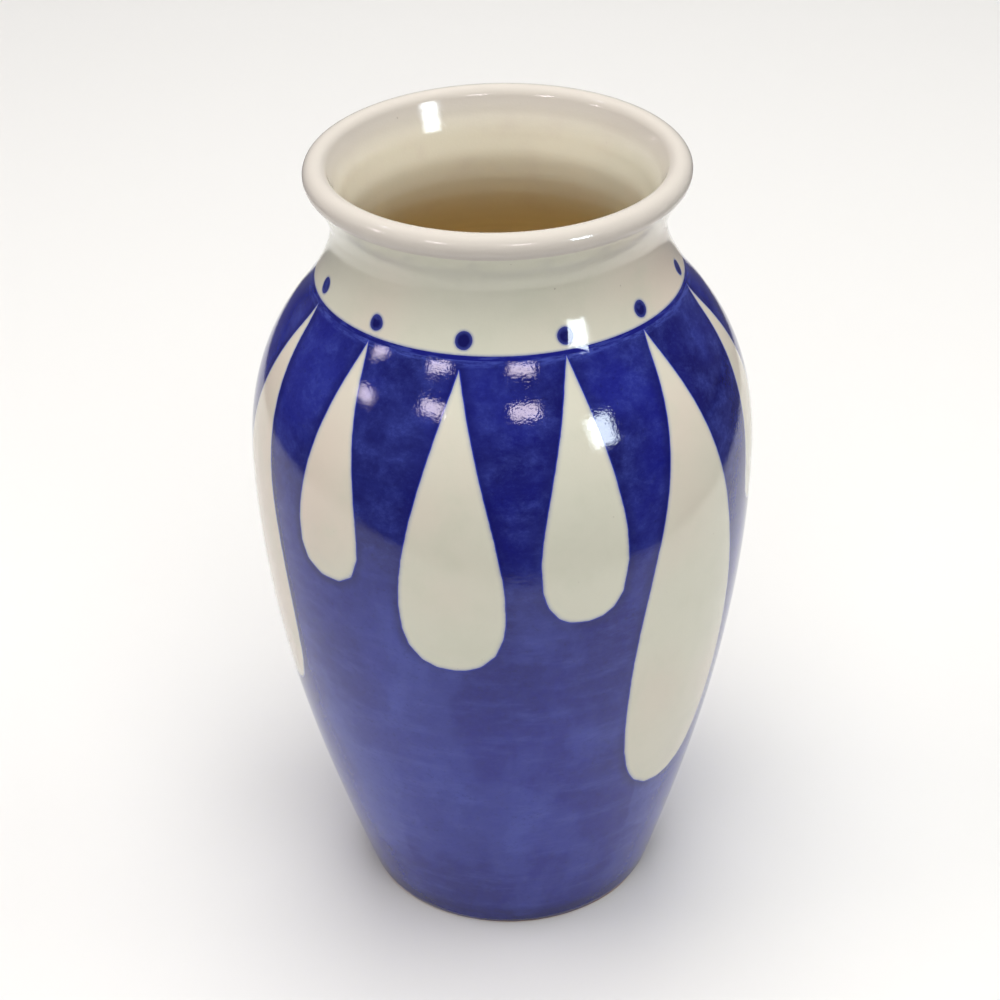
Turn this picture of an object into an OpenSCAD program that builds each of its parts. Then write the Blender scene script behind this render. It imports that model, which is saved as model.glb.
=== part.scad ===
// Talavera vase: a thrown clay body in luted sections, under its coats of glaze.
// The axis is Z, the foot stands on z = 0, and azimuth 0 is the front, towards -Y.

/* [Body] */
// Radius of the flat ring that the vase stands on, at its outer edge
base_r = 56.3; // [48:0.1:62]
// Radius of the wall just above the rounded foot edge
foot_r = 59; // [50:0.1:66]
// Height of the rounded foot edge
foot_edge_h = 3.75; // [2.5:0.05:6]
// Lean of the wall from vertical where it leaves the foot, in degrees
foot_angle = 17.8; // [8:0.1:26]
// Largest diameter, at the belly
belly_d = 190; // [155:1:230]
// Height from the foot edge up to the belly
body_h = 189.25; // [155:0.25:230]
// Height from the belly up to the waist of the collar
shoulder_h = 92; // [76:1:112]
// Thickness of the wall, with its glaze on both sides
wall_t = 6.5; // [5:0.1:8.5]

/* [Collar and rim] */
// Radius at the waist, the narrowest place outside
waist_r = 61; // [50:0.5:74]
// Height from the waist up to the top of the rim
collar_h = 25; // [20:0.5:34]
// Diameter over the rim
rim_d = 140; // [116:1:168]
// Diameter of the round bead at the rim, with its glaze
rim_bead_d = 9.4; // [7.6:0.1:11.5]
// Lean of the flare from vertical where it runs into the bead, in degrees
flare_angle = 38; // [25:1:45]

/* [Foot] */
// Width of the unglazed ring that touches the table
foot_ring_w = 9.5; // [6:0.5:14]
// Depth of the recess inside the foot ring
foot_recess = 3; // [2:0.1:4]
// Thickness of the floor
floor_t = 8; // [6:0.5:12]

/* [Glaze] */
// Thickness of every coat of glaze
glaze_t = 0.8; // [0.5:0.1:1]
// Height from the waist down to the top edge of the blue
blue_drop = 20; // [14:0.5:24]
// Height of the brushed line along the top edge of the blue
line_h = 1.4; // [0.8:0.1:2.4]
// Height at which the blue stops on the foot edge
bare_edge_h = 0.7; // [0.4:0.1:1.2]

/* [Teardrops and dots] */
// Number of teardrops round the vase, in fours: long, short, medium, broader short
drop_count = 12; // [4:4:12]
// Azimuth of the first long teardrop, in degrees
first_azimuth = 48; // [0:0.5:90]
// Length of a long teardrop, measured upright
long_len = 193; // [160:1:200]
// Width of a long teardrop
long_w = 55.6; // [46:0.2:60]
// Height of the long teardrop that tapers up to its tip
long_taper = 127; // [100:1:150]
// Length of a medium teardrop, measured upright
medium_len = 110; // [90:1:132]
// Width of a medium teardrop
medium_w = 38.4; // [32:0.2:42]
// Height of the medium teardrop that tapers up to its tip
medium_taper = 82.5; // [66:0.5:90]
// Length of a short teardrop, measured upright
short_len = 86; // [72:1:104]
// Width of a short teardrop
short_w = 28.4; // [23:0.2:34]
// Height of the short teardrop that tapers up to its tip
short_taper = 68.5; // [56:0.5:72]
// Length of the broader short teardrop that follows each medium one
broad_len = 94; // [78:1:112]
// Width of the broader short teardrop
broad_w = 32.6; // [27:0.2:39]
// Height of the broader short teardrop that tapers up to its tip
broad_taper = 69.5; // [56:0.5:78]
// Length of the slimmer long teardrop, at the left
slim_len = 158; // [130:1:180]
// Width of the slimmer long teardrop
slim_w = 43; // [36:0.2:50]
// Height of the slimmer long teardrop that tapers up to its tip
slim_taper = 111; // [88:0.5:124]
// Gap between a teardrop's tip and the brushed line
tip_gap = 0.6; // [0.4:0.1:2]
// Further gap above each medium teardrop
medium_tip_gap = 3.6; // [2:0.1:6]
// Diameter of a dot on the collar
dot_d = 6.4; // [5:0.1:7.6]
// Height of the dots' centres above the top edge of the blue
dot_rise = 4.8; // [4:0.1:6]

/* [Hidden] */
// Each kind as its name, length, width, taper and the gap above its tip
KINDS = [
    ["long", long_len, long_w, long_taper, tip_gap],
    ["short", short_len, short_w, short_taper, tip_gap],
    ["medium", medium_len, medium_w, medium_taper, tip_gap + medium_tip_gap],
    ["short", broad_len, broad_w, broad_taper, tip_gap],
    ["long", slim_len, slim_w, slim_taper, tip_gap]
];
slim_place = 8;   // counted from the first long teardrop, which is 0
function kind(i) = i == slim_place ? KINDS[4] : KINDS[i % 4];
function azimuth(i) = first_azimuth + i * 360 / drop_count;
function count_to(i) = len([for (j = [0 : i]) if (kind(j)[0] == kind(i)[0]) j]);
function drop_name(i) = str("teardrop_", kind(i)[0], "_", count_to(i));
function dot_name(i) = str("dot_", i + 1);

$fn = 96;
reach = belly_d + rim_d;      // larger than any radius in the vase
clay_t = wall_t - glaze_t;    // depth of the clay's inner face below the outer surface

belly_r = belly_d / 2;
bead_r = rim_bead_d / 2;
belly_z = foot_edge_h + body_h;
waist_z = belly_z + shoulder_h;
top_z = waist_z + collar_h;
bead_centre = [rim_d / 2 - bead_r, top_z - bead_r];
blue_top_z = waist_z - blue_drop;
line_z = blue_top_z - line_h;
floor_z = foot_recess + floor_t;

// Where the thrown sections are luted together, as shares of the body's and the shoulder's height
foot_seam = 0.35;
lower_seam = 0.7;
belly_seam = 0.1;
shoulder_seam = 0.5;
neck_seam = 0.85;
foot_seam_z = foot_edge_h + body_h * foot_seam;
lower_seam_z = foot_edge_h + body_h * lower_seam;
belly_seam_z = belly_z + shoulder_h * belly_seam;
shoulder_seam_z = belly_z + shoulder_h * shoulder_seam;
neck_seam_z = belly_z + shoulder_h * neck_seam;

// How far the profile's handles reach, as shares of the height that each curve spans
foot_edge_reach = 0.6;
foot_reach = 0.338;
belly_below_reach = 0.354;
belly_above_reach = 0.645;
waist_below_reach = 0.298;
waist_above_reach = 0.16;
rim_reach = 0.3;
bead_turn = 12;   // degrees past the flare's lean at which the flare enters the bead

// The outer profile is four curves, each a start, two handles and an end, as [radius, height]
foot_curve = [
    [base_r, 0],
    [base_r + (foot_r - base_r) * foot_edge_reach, 0],
    [foot_r, foot_edge_h] - foot_edge_h * foot_edge_reach * lean(foot_angle),
    [foot_r, foot_edge_h]
];
wall_curve = [
    [foot_r, foot_edge_h],
    [foot_r, foot_edge_h] + body_h * foot_reach * lean(foot_angle),
    [belly_r, belly_z - body_h * belly_below_reach],
    [belly_r, belly_z]
];
shoulder_curve = [
    [belly_r, belly_z],
    [belly_r, belly_z + shoulder_h * belly_above_reach],
    [waist_r, waist_z - shoulder_h * waist_below_reach],
    [waist_r, waist_z]
];
flare_end = bead_centre
    + (bead_r - 2 * glaze_t) * [cos(flare_angle + bead_turn), -sin(flare_angle + bead_turn)];
flare_curve = [
    [waist_r, waist_z],
    [waist_r, waist_z + collar_h * waist_above_reach],
    flare_end - collar_h * rim_reach * lean(flare_angle),
    flare_end
];

function lean(a) = [sin(a), cos(a)];
function unit(v) = v / norm(v);

function on_curve(c, t) =
    pow(1 - t, 3) * c[0] + 3 * pow(1 - t, 2) * t * c[1] + 3 * (1 - t) * t * t * c[2] + pow(t, 3) * c[3];

function along(c, t) =
    unit(pow(1 - t, 2) * (c[1] - c[0]) + 2 * (1 - t) * t * (c[2] - c[1]) + t * t * (c[3] - c[2]));

// A point of the curve, sunk below the outer surface by depth
function sunk(c, t, depth) = on_curve(c, t) + depth * [-along(c, t)[1], along(c, t)[0]];

// The curve's parameter at height z, by halving
function at_height(c, z, lo = 0, hi = 1, n = 24) =
    n == 0 ? (lo + hi) / 2 :
    on_curve(c, (lo + hi) / 2)[1] < z ? at_height(c, z, (lo + hi) / 2, hi, n - 1) :
    at_height(c, z, lo, (lo + hi) / 2, n - 1);

foot_steps = 3;
wall_steps = 9;
shoulder_steps = 8;
flare_steps = 5;

// The wall from the foot edge to the bead, sunk by depth
function wall_line(depth) = concat(
    [for (i = [0 : wall_steps - 1]) sunk(wall_curve, i / wall_steps, depth)],
    [for (i = [0 : shoulder_steps - 1]) sunk(shoulder_curve, i / shoulder_steps, depth)],
    [for (i = [0 : flare_steps]) sunk(flare_curve, i / flare_steps, depth)]
);

// The rounded foot edge, from where the glaze stops
bare_t = at_height(foot_curve, bare_edge_h);
function foot_line(depth) =
    [for (i = [0 : foot_steps - 1]) sunk(foot_curve, bare_t + (1 - bare_t) * i / foot_steps, depth)];

function reversed(list) = [for (i = [len(list) - 1 : -1 : 0]) list[i]];

// Sections, drawn flat with X as the radius and Y as the height

module between(low, high) {
    translate([0, low]) square([reach, high - low]);
}

module skin() {
    polygon(concat(foot_line(0), wall_line(0), reversed(wall_line(glaze_t)), reversed(foot_line(glaze_t))));
}

module clay() {
    polygon(concat(wall_line(glaze_t), reversed(wall_line(clay_t))));
}

module coat_inside() {
    polygon(concat(wall_line(clay_t), reversed(wall_line(wall_t))));
}

// All that lies inside the wall, from depth inwards
module hollow(depth) {
    line = wall_line(depth);
    polygon(concat([[0, 0], [line[0][0], 0]], line, [[0, line[len(line) - 1][1]]]));
}

module bead(r) {
    translate(bead_centre) circle(r);
}

module wall_section(low, high) {
    color("peru")
        rotate_extrude()
            difference() {
                intersection() {
                    clay();
                    between(low, high);
                }
                bead(bead_r - glaze_t);
            }
}

// Clay

module foot_ring() {
    ledge = sunk(wall_curve, 0, clay_t);
    color("peru")
        rotate_extrude()
            polygon(concat(
                [[base_r - foot_ring_w, 0], [base_r, 0], foot_line(0)[0]],
                foot_line(glaze_t),
                [sunk(wall_curve, 0, glaze_t), ledge],
                [[ledge[0], foot_recess], [base_r - foot_ring_w, foot_recess]]
            ));
}

module floor_disc() {
    color("peru")
        rotate_extrude()
            intersection() {
                hollow(clay_t);
                between(foot_recess, floor_z);
            }
}

module rim_bead() {
    color("peru") rotate_extrude() bead(bead_r - glaze_t);
}

// Coats of glaze

module lining_glaze() {
    color("tan")
        rotate_extrude()
            difference() {
                union() {
                    intersection() {
                        coat_inside();
                        between(floor_z, top_z);
                    }
                    intersection() {
                        hollow(clay_t);
                        between(floor_z, floor_z + glaze_t);
                    }
                }
                bead(bead_r);
            }
}

module rim_glaze() {
    color("antiquewhite")
        rotate_extrude()
            difference() {
                bead(bead_r);
                bead(bead_r - glaze_t);
                clay();
            }
}

module collar_glaze() {
    color("antiquewhite")
        difference() {
            rotate_extrude()
                difference() {
                    intersection() {
                        skin();
                        between(blue_top_z, top_z);
                    }
                    bead(bead_r);
                }
            for (i = [0 : drop_count - 1]) dot_punch(i);
        }
}

module brushed_line() {
    color("midnightblue")
        rotate_extrude()
            intersection() {
                skin();
                between(line_z, blue_top_z);
            }
}

module blue_coat() {
    rotate_extrude()
        intersection() {
            skin();
            between(0, line_z);
        }
}

module blue_glaze() {
    color("darkblue")
        difference() {
            blue_coat();
            for (i = [0 : drop_count - 1]) drop_punch(i);
        }
}

// Teardrops and dots

flank_steps = 5;
round_steps = 5;

// How far a teardrop's handles reach: along its taper, along its round end, and across its half width
tip_reach = 0.33;
flank_reach = 0.72;
side_reach = 0.6;
tip_fullness = 0.45;
end_fullness = 0.76;

punch_back = waist_r / 2;      // a teardrop's punch starts well inside the wall
dot_punch_h = 6 * glaze_t;     // a dot's punch stands proud of the glaze on both sides

// A teardrop seen from the front, from its tip at the origin downwards
module teardrop(length, width, taper) {
    w = width / 2;
    rest = length - taper;
    flank = [[0, 0], [w * tip_fullness, -taper * tip_reach], [w, -taper * flank_reach], [w, -taper]];
    round_end = [
        [w, -taper],
        [w, -taper - rest * side_reach],
        [w * end_fullness, -length],
        [0, -length]
    ];
    side = concat(
        [for (i = [0 : flank_steps - 1]) on_curve(flank, i / flank_steps)],
        [for (i = [0 : round_steps]) on_curve(round_end, i / round_steps)]
    );
    inner = [for (i = [len(side) - 2 : -1 : 1]) [-side[i][0], side[i][1]]];
    polygon(concat(side, inner));
}

module drop_punch(i) {
    rotate([0, 0, azimuth(i)])
        translate([0, -punch_back, line_z - kind(i)[4]])
            rotate([90, 0, 0])
                linear_extrude(height = belly_r)
                    teardrop(kind(i)[1], kind(i)[2], kind(i)[3]);
}

module dot_punch(i) {
    t = at_height(shoulder_curve, blue_top_z + dot_rise);
    spot = on_curve(shoulder_curve, t);
    slope = along(shoulder_curve, t);
    rotate([0, 0, azimuth(i)])
        translate([0, -spot[0], spot[1]])
            rotate([90 - atan2(-slope[0], slope[1]), 0, 0])
                cylinder(d = dot_d, h = dot_punch_h, center = true);
}

module drop(i) {
    color("ivory")
        intersection() {
            blue_coat();
            drop_punch(i);
        }
}

module dot(i) {
    color("darkblue")
        intersection() {
            rotate_extrude()
                intersection() {
                    skin();
                    between(blue_top_z, waist_z);
                }
            dot_punch(i);
        }
}

foot_ring();
floor_disc();
wall_section(foot_edge_h, foot_seam_z);  // foot_wall
wall_section(foot_seam_z, lower_seam_z);  // lower_wall
wall_section(lower_seam_z, belly_seam_z);  // belly_wall
wall_section(belly_seam_z, shoulder_seam_z);  // shoulder_wall
wall_section(shoulder_seam_z, neck_seam_z);  // neck_wall
wall_section(neck_seam_z, top_z);  // collar_wall
rim_bead();
lining_glaze();
rim_glaze();
collar_glaze();
brushed_line();
blue_glaze();
for (i = [0 : drop_count - 1]) {
    drop(i);
    dot(i);
}
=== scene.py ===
import math
import bpy
import numpy as np
from mathutils import Matrix, Vector
from mathutils.geometry import delaunay_2d_cdt
from mathutils.kdtree import KDTree


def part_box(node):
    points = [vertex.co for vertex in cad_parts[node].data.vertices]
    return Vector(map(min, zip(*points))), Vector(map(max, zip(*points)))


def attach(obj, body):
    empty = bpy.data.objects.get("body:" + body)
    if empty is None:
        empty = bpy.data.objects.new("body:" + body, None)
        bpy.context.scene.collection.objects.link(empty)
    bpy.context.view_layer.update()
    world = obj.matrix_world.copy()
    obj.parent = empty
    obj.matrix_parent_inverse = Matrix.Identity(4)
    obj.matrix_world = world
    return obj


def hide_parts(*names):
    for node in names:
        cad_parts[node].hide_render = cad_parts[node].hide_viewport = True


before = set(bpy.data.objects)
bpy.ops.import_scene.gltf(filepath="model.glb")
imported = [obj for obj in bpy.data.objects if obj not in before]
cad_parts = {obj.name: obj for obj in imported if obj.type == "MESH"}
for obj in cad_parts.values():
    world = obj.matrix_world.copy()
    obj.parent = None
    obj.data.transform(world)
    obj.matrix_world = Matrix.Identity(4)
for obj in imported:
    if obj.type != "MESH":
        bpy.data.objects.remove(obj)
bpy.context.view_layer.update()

# A glazed vase: a blue coat with windows, ivory teardrops set in them, dots on the collar.
# Shapes are worked out in millimetres and turned into metres when a mesh is made.
mm = 0.001
scene = bpy.context.scene
scene.view_settings.view_transform = "Standard"

# The camera comes first, because everything is judged through it
view = {
    "place": (0.0, -0.8031, 0.6648),
    "down": 31.9,   # degrees below level
    "turn": -0.11,
    "roll": -1.2,
    "lens": 87.8,
    "sensor": 36.0,
    "nearest": 0.02,
}


def makeCamera():
    data = bpy.data.cameras.new("viewCamera")
    data.lens = view["lens"]
    data.sensor_width = view["sensor"]
    data.clip_start = view["nearest"]
    camera = bpy.data.objects.new("viewCamera", data)
    down, turn, roll = (math.radians(view[key]) for key in ("down", "turn", "roll"))
    ahead = Vector((math.sin(turn) * math.cos(down), math.cos(turn) * math.cos(down), -math.sin(down)))
    level = Vector((math.cos(turn), -math.sin(turn), 0.0))
    above = level.cross(ahead)
    right = level * math.cos(roll) + above * math.sin(roll)
    up = above * math.cos(roll) - level * math.sin(roll)
    camera.matrix_world = Matrix((right, up, -ahead)).transposed().to_4x4()
    camera.location = view["place"]
    scene.collection.objects.link(camera)
    scene.camera = camera


makeCamera()
print("camera set")

# The pot's sizes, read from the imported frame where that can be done
rimLow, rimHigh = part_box("rim_glaze")
blueLow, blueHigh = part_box("blue_glaze")
lineLow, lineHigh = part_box("brushed_line")
pot = {
    "rimR": rimHigh.x / mm,
    "topZ": rimHigh.z / mm,
    "beadR": (rimHigh.z - rimLow.z) / 2 / mm,
    "bellyR": blueHigh.x / mm,
    "bellyZ": 193.0,
    "waistR": 61.0,
    "waistZ": 285.0,
    "footR": 59.0,
    "footZ": 3.75,
    "footLean": 17.8,   # degrees from upright
    "flareLean": 38.0,
    "baseR": 56.3,
    "wallT": 6.5,
    "coatT": 0.8,
    "floorZ": 11.8,
    "bareZ": blueLow.z / mm * 0.6,
    "lineZ": lineLow.z / mm,
    "blueTopZ": lineHigh.z / mm,
    "step": 0.2,   # between points of the outline
    "crease": 0.55,   # how far a crease is softened along the outline
    "hollow": (259.8, 6.0, -0.38),   # its height, its reach and how far it stands in or out
    "swell": (272.5, 9.0, 0.33),
}
# How each curve of the outline pulls, mostly as a share of the height that it climbs
bend = {
    "points": {"edge": 60, "wall": 900, "shoulder": 600, "flare": 160, "over": 400,
               "throat": 120, "turn": 60, "floor": 200},
    "edge": 0.6,
    "foot": 0.338,
    "bellyBelow": 0.354,
    "bellyAbove": 0.645,
    "waistBelow": 0.298,
    "waistAbove": 0.16,
    "flare": 0.3,
    "beadUnder": 10,   # degrees under the flare's lean where the bead starts
    "beadOver": 160,   # degrees where it ends inside the mouth
    "innerFlare": 0.3,   # share of the flare that the inner wall follows
    "throatTop": 20,   # degrees from upright
    "throatFoot": 6,
    "throat": 6.0,   # millimetres from here on
    "cornerH": 7.0,
    "cornerPull": 0.45,
    "cornerNear": 3.5,
    "cornerFar": 9.0,
}
# What a hand does to a pot: a slight lean, an oval, soft dents and throwing rings
hand = {
    "leanX": 0.35,
    "leanY": 0.1,
    "leanFrom": 0.02,   # the lean comes and goes over this stretch of the height
    "leanOver": 0.75,
    "oval": 0.12,
    "ovalTurn": 0.5,
    "dent": 0.07,
    # lobes round the pot, how fast they wind as they climb, and where they start
    "threeLobes": (3, 0.021, 0.6),
    "threeFade": (0, 0.037, 0.9),
    "fiveLobes": (5, -0.03),
    "fiveShare": 0.6,
    "twoLobes": (2, 0.055),
    "twoShare": 0.5,
    "ring": 0.010,
    "ringInside": 0.05,
    "ringPitch": 0.83,   # radians of ring a millimetre
    "ringWander": 1.3,
    "wanderPitch": 0.11,
    "ringSkew": 0.35,
    "ringDepth": (0.6, 0.4, 0.19, 1.0),   # steady share, changing share, its pitch and start
    "insideOver": 20.0,   # millimetres past the bead until the rings are at their inside depth
    "calmR": 12.0,   # all of it dies away inside this radius
}


def bezier(a, b, c, d, count):
    t = np.linspace(0.0, 1.0, count)[:, None]
    return (1 - t) ** 3 * a + 3 * (1 - t) ** 2 * t * b + 3 * (1 - t) * t * t * c + t ** 3 * d


def arc(centre, radius, start, end, count):
    angles = np.radians(np.linspace(start, end, count))
    return centre + radius * np.stack([np.cos(angles), np.sin(angles)], axis=1)


def lean(degrees):
    angle = math.radians(degrees)
    return np.array([math.sin(angle), math.cos(angle)])


def measured(points):
    steps = np.hypot(*np.diff(points, axis=0).T)
    return np.concatenate([[0.0], np.cumsum(steps)])


def evenly(points, step):
    run = measured(points)
    keep = np.concatenate([[True], np.diff(run) > 1e-6])
    at = np.linspace(0.0, run[-1], int(run[-1] / step) + 1)
    return np.stack([np.interp(at, run[keep], points[keep, k]) for k in (0, 1)], axis=1)


def softened(points, step, width):
    # blurs the line over a short length, so that corners turn into small curves
    reach = int(3 * width / step)
    weights = np.exp(-0.5 * (np.arange(-reach, reach + 1) * step / width) ** 2)
    weights /= weights.sum()
    before = 2 * points[:1] - points[reach:0:-1]
    after = 2 * points[-1:] - points[-2:-reach - 2:-1]
    padded = np.concatenate([before, points, after])
    return np.stack([np.convolve(padded[:, k], weights, "valid") for k in (0, 1)], axis=1)


def sideways(points):
    run = np.gradient(points, axis=0)
    run /= np.hypot(run[:, 0], run[:, 1])[:, None]
    return np.stack([run[:, 1], -run[:, 0]], axis=1)


def pressed(points):
    # the potter's finger leaves a shallow hollow under the painted line and a slight swell above it
    along = measured(points)
    climbing = along < along[np.argmax(points[:, 1])]
    push = np.zeros(len(points))
    for height, reach, amount in (pot["hollow"], pot["swell"]):
        middle = np.interp(height, points[climbing, 1], along[climbing])
        push += amount * np.exp(-0.5 * ((along - middle) / reach) ** 2)
    return points + sideways(points) * np.where(climbing, push, 0.0)[:, None]


def potOutline():
    up = np.array([0.0, 1.0])
    out = np.array([1.0, 0.0])
    base = np.array([pot["baseR"], 0.0])
    foot = np.array([pot["footR"], pot["footZ"]])
    belly = np.array([pot["bellyR"], pot["bellyZ"]])
    waist = np.array([pot["waistR"], pot["waistZ"]])
    bead = np.array([pot["rimR"] - pot["beadR"], pot["topZ"] - pot["beadR"]])
    bodyH = pot["bellyZ"] - pot["footZ"]
    shoulderH = pot["waistZ"] - pot["bellyZ"]
    collarH = pot["topZ"] - pot["waistZ"]
    points = bend["points"]
    beadStart = -(pot["flareLean"] + bend["beadUnder"])
    meet = arc(bead, pot["beadR"], beadStart, beadStart, 1)[0]

    # up the outside, from the bare clay at the foot to the bead
    edge = bezier(base, base + out * (pot["footR"] - pot["baseR"]) * bend["edge"],
                  foot - lean(pot["footLean"]) * pot["footZ"] * bend["edge"], foot, points["edge"])
    edge = edge[edge[:, 1] >= pot["bareZ"]]
    wall = bezier(foot, foot + lean(pot["footLean"]) * bodyH * bend["foot"],
                  belly - up * bodyH * bend["bellyBelow"], belly, points["wall"])
    shoulder = bezier(belly, belly + up * shoulderH * bend["bellyAbove"],
                      waist - up * shoulderH * bend["waistBelow"], waist, points["shoulder"])
    flare = bezier(waist, waist + up * collarH * bend["waistAbove"],
                   meet - lean(pot["flareLean"]) * collarH * bend["flare"], meet, points["flare"])
    over = arc(bead, pot["beadR"], beadStart, bend["beadOver"], points["over"])

    # down the inside, one wall's thickness in, and over the floor to its middle
    outside = np.concatenate([wall, shoulder[1:], flare[1:]])
    inside = outside - sideways(outside) * pot["wallT"]
    inside = inside[:len(wall) + len(shoulder) + int(len(flare) * bend["innerFlare"])]
    throat = bezier(over[-1], over[-1] - lean(bend["throatTop"]) * bend["throat"],
                    inside[-1] + lean(bend["throatFoot"]) * bend["throat"], inside[-1], points["throat"])
    down = inside[inside[:, 1] > pot["floorZ"] + bend["cornerH"]][::-1]
    corner = np.array([np.interp(pot["floorZ"], inside[:, 1], inside[:, 0]), pot["floorZ"]])
    turn = bezier(down[-1], corner + (down[-1] - corner) * bend["cornerPull"],
                  corner - out * bend["cornerNear"], corner - out * bend["cornerFar"], points["turn"])
    floorX = np.linspace(turn[-1][0], 0.0, points["floor"])
    floor = np.stack([floorX, np.full(points["floor"], pot["floorZ"])], axis=1)

    rest = [wall, shoulder, flare, over, throat, down, turn, floor]
    line = np.concatenate([edge] + [part[1:] for part in rest])
    line = softened(evenly(line, pot["step"]), pot["step"], pot["crease"])
    return pressed(line), meet, over[-1]


outline, beadFoot, beadEnd = potOutline()
outlineRun = measured(outline)
outlineSide = sideways(outline)


def runNear(point):
    return float(outlineRun[np.argmin(np.hypot(*(outline - point).T))])


def runAtHeight(z):
    climbing = outlineRun < runNear(beadFoot)
    return np.interp(z, outline[climbing, 1], outlineRun[climbing])


marks = {
    "line": float(runAtHeight(pot["lineZ"])),
    "blueTop": float(runAtHeight(pot["blueTopZ"])),
    "beadFoot": runNear(beadFoot),
    "beadEnd": runNear(beadEnd),
    "end": float(outlineRun[-1]),
}


def radiusAt(run):
    return np.interp(run, outlineRun, outline[:, 0])


def throwingRings(angle, run):
    wander = hand["ringWander"] * np.sin(run * hand["wanderPitch"])
    steady, changing, pitch, start = hand["ringDepth"]
    rings = np.sin(run * hand["ringPitch"] + wander + hand["ringSkew"] * np.sin(angle))
    return rings * (steady + changing * np.sin(run * pitch + start))


def lobes(angle, run, count, wind, start=0.0):
    return np.sin(count * angle + wind * run + start)


def softDents(angle, run):
    dents = lobes(angle, run, *hand["threeLobes"]) * lobes(angle, run, *hand["threeFade"])
    dents += hand["fiveShare"] * lobes(angle, run, *hand["fiveLobes"])
    return dents + hand["twoShare"] * lobes(angle, run, *hand["twoLobes"])


def onPot(angle, run, depth=0.0):
    # a point of the pot at an angle round from the front and a run along the outline, sunk by depth
    r, z = (np.interp(run, outlineRun, outline[:, k]) for k in (0, 1))
    nr, nz = (np.interp(run, outlineRun, outlineSide[:, k]) for k in (0, 1))
    inner = np.clip((run - marks["beadFoot"]) / hand["insideOver"], 0.0, 1.0)
    height = np.clip(z / pot["topZ"], 0.0, 1.0)
    swell = throwingRings(angle, run) * (hand["ring"] + (hand["ringInside"] - hand["ring"]) * inner)
    swell = swell + hand["dent"] * softDents(angle, run) * np.sin(np.pi * height)
    swell = swell + hand["oval"] * np.cos(2 * angle + hand["ovalTurn"]) * height
    push = swell * np.clip(r / hand["calmR"], 0.0, 1.0) - depth
    r2 = r + nr * push
    z2 = z + nz * push
    tilt = np.sin(np.pi * np.clip((height - hand["leanFrom"]) / hand["leanOver"], 0.0, 1.0))
    x = r2 * np.sin(angle) - hand["leanX"] * tilt
    y = -r2 * np.cos(angle) + hand["leanY"] * tilt
    return np.stack([x, y, z2], axis=-1)


def facing(angle, run, turnStep=0.002, runStep=0.15):
    # the surface's own normal, from two short steps along it
    across = onPot(angle + turnStep, run) - onPot(angle - turnStep, run)
    ahead = onPot(angle, np.minimum(run + runStep, marks["end"]))
    behind = onPot(angle, np.maximum(run - runStep, 0.0))
    normal = np.cross(across, ahead - behind)
    size = np.linalg.norm(normal, axis=-1, keepdims=True)
    return np.where(size > 1e-9, normal / np.maximum(size, 1e-9), np.array([0.0, 0.0, 1.0]))


def smoothShading(mesh, normals, agreement=0.55):
    # a corner takes the pot's own normal, except on a face that points another way, such as a cut edge
    corners = np.zeros(len(mesh.loops), np.int32)
    mesh.loops.foreach_get("vertex_index", corners)
    flat = np.zeros(len(mesh.polygons) * 3)
    mesh.polygons.foreach_get("normal", flat)
    owner = np.repeat(np.arange(len(mesh.polygons)), [face.loop_total for face in mesh.polygons])
    own = flat.reshape(-1, 3)[owner]
    wanted = normals[corners]
    agree = (wanted * own).sum(1) > agreement
    mesh.normals_split_custom_set(np.where(agree[:, None], wanted, own).tolist())


def addMesh(name, points, faces, node, normals=None, edgeGaps=None):
    mesh = bpy.data.meshes.new(name)
    mesh.from_pydata((np.asarray(points) * mm).tolist(), [], faces)
    if edgeGaps is not None:
        layer = mesh.attributes.new("edge", "FLOAT", "POINT")
        layer.data.foreach_set("value", np.asarray(edgeGaps, np.float32))
    mesh.polygons.foreach_set("use_smooth", [True] * len(mesh.polygons))
    if normals is not None:
        smoothShading(mesh, normals)
    mesh.update()
    piece = bpy.data.objects.new(name, mesh)
    scene.collection.objects.link(piece)
    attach(piece, "root")
    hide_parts(node)
    return piece


def coatFrom(name, angle, run, faces, node, edgeGaps=None):
    # a closed coat: the shown side, the same side sunk by the coat's thickness, and walls round each border
    count = len(angle)
    points = np.concatenate([onPot(angle, run), onPot(angle, run, pot["coatT"])])
    normal = facing(angle, run)
    border = {}
    for face in faces:
        for a, b in zip(face, face[1:] + face[:1]):
            if (b, a) in border:
                del border[(b, a)]
            else:
                border[(a, b)] = True
    allFaces = [tuple(face) for face in faces]
    allFaces += [tuple(count + v for v in reversed(face)) for face in faces]
    allFaces += [(b, a, count + a, count + b) for a, b in border]
    if edgeGaps is not None:
        edgeGaps = np.concatenate([edgeGaps, edgeGaps])
    return addMesh(name, points, allFaces, node, np.concatenate([normal, -normal]), edgeGaps)


def ringCoat(name, runs, columns, node):
    # a coat all the way round, as rows of quads
    angles = np.linspace(-math.pi, math.pi, columns, endpoint=False)
    faces = []
    for row in range(len(runs) - 1):
        for k in range(columns):
            a = row * columns + k
            b = row * columns + (k + 1) % columns
            faces.append([a, b, b + columns, a + columns])
    return coatFrom(name, np.tile(angles, len(runs)), np.repeat(runs, columns), faces, node)


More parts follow.
